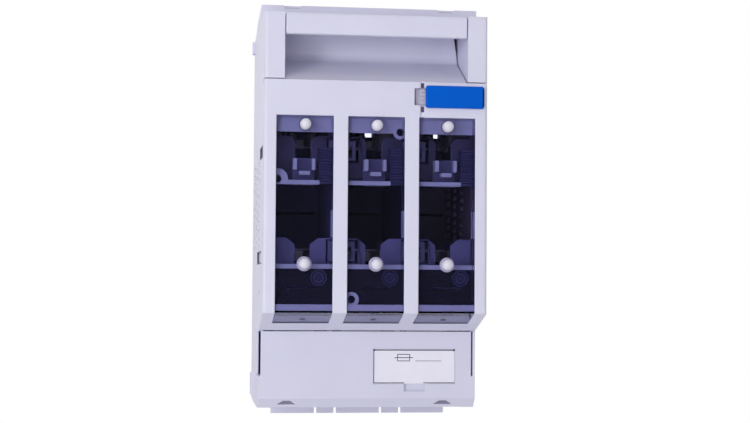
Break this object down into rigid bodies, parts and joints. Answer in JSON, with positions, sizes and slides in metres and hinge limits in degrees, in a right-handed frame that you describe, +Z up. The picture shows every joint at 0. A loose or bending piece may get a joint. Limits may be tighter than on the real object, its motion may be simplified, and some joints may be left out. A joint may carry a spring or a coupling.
{
  "type": "fuse switch disconnector",
  "caption": "Flat-mounted fuse switch disconnector with a swing-out fuse lid, smoked inspection windows, a hollow grip bar, a slide lock and clip-on terminal covers.",
  "frame": {"origin": "centre of the flat back face, midway between the four fixing holes and between the upper and lower rims", "axes": "+Z up along the poles, from the lower cable side to the upper one; -Y out of the front, towards the person who pulls the lid; +X to that person's right; +Y into the mounting plate"},
  "size_m": [0.1073, 0.0931, 0.2008],
  "materials": {
    "housing_plastic": "fine sparked moulding, light lavender grey",
    "carrier_plastic": "fine sparked moulding, light lavender grey",
    "dark_plastic": "sparked arc-proof thermoset, near black",
    "louvre_plastic": "moulded arc-proof thermoset, dark violet",
    "smoked_pane": "polished smoked polycarbonate",
    "blue_plastic": "smooth moulding, signal blue",
    "plug_plastic": "smooth moulding, white",
    "slider_plastic": "fine sparked moulding, grey",
    "clip_plastic": "moulded, pale grey",
    "label_card": "coated card, off-white",
    "silvered_copper": "silver-plated copper strip, satin",
    "spring_steel": "tempered strip",
    "zinc_steel": "bright zinc plated"
  },
  "bodies": {
    "base": {"base_housing": "housing_plastic", "top_terminal_cover": "housing_plastic", "bottom_terminal_cover": "housing_plastic", "label_card": "label_card", "cable_comb": "housing_plastic", "terminal_screws": "zinc_steel", "contact_screws": "zinc_steel", "partition_clips": "clip_plastic", "pole_tray_left": "dark_plastic", "pole_tray_middle": "dark_plastic", "pole_tray_right": "dark_plastic", "upper_shroud_left": "dark_plastic", "upper_shroud_middle": "dark_plastic", "upper_shroud_right": "dark_plastic", "lower_shroud_left": "dark_plastic", "lower_shroud_middle": "dark_plastic", "lower_shroud_right": "dark_plastic", "upper_contact_left": "silvered_copper", "upper_contact_middle": "silvered_copper", "upper_contact_right": "silvered_copper", "lower_contact_left": "silvered_copper", "lower_contact_middle": "silvered_copper", "lower_contact_right": "silvered_copper", "upper_jaw_spring_left": "spring_steel", "upper_jaw_spring_middle": "spring_steel", "upper_jaw_spring_right": "spring_steel", "lower_jaw_spring_left": "spring_steel", "lower_jaw_spring_middle": "spring_steel", "lower_jaw_spring_right": "spring_steel", "upper_terminal_clamp_left": "zinc_steel", "upper_terminal_clamp_middle": "zinc_steel", "upper_terminal_clamp_right": "zinc_steel", "lower_terminal_clamp_left": "zinc_steel", "lower_terminal_clamp_middle": "zinc_steel", "lower_terminal_clamp_right": "zinc_steel"},
    "lid": {"lid_shell": "housing_plastic", "fuse_carrier": "carrier_plastic", "window_left": "smoked_pane", "fuse_grip_left": "carrier_plastic", "grip_plate_left": "dark_plastic", "arc_chute_left": "louvre_plastic", "lower_panel_left": "dark_plastic", "window_middle": "smoked_pane", "fuse_grip_middle": "carrier_plastic", "grip_plate_middle": "dark_plastic", "arc_chute_middle": "louvre_plastic", "lower_panel_middle": "dark_plastic", "window_right": "smoked_pane", "fuse_grip_right": "carrier_plastic", "grip_plate_right": "dark_plastic", "arc_chute_right": "louvre_plastic", "lower_panel_right": "dark_plastic", "upper_test_plug_left": "plug_plastic", "upper_test_plug_middle": "plug_plastic", "upper_test_plug_right": "plug_plastic", "lower_test_plug_left": "plug_plastic", "lower_test_plug_middle": "plug_plastic", "lower_test_plug_right": "plug_plastic"},
    "lock": {"lock_slider": "slider_plastic", "lock_tab": "blue_plastic"}
  },
  "joints": [
    {"name": "lid_hinge", "type": "hinge", "parent": "base", "child": "lid", "pos_m": [0, -0.066, -0.052], "axis": [1, 0, 0], "range_deg": [0, 90]},
    {"name": "lock_slide", "type": "slide", "parent": "lid", "child": "lock", "axis": [-1, 0, 0], "range_m": [0, 0.0023]}
  ]
}
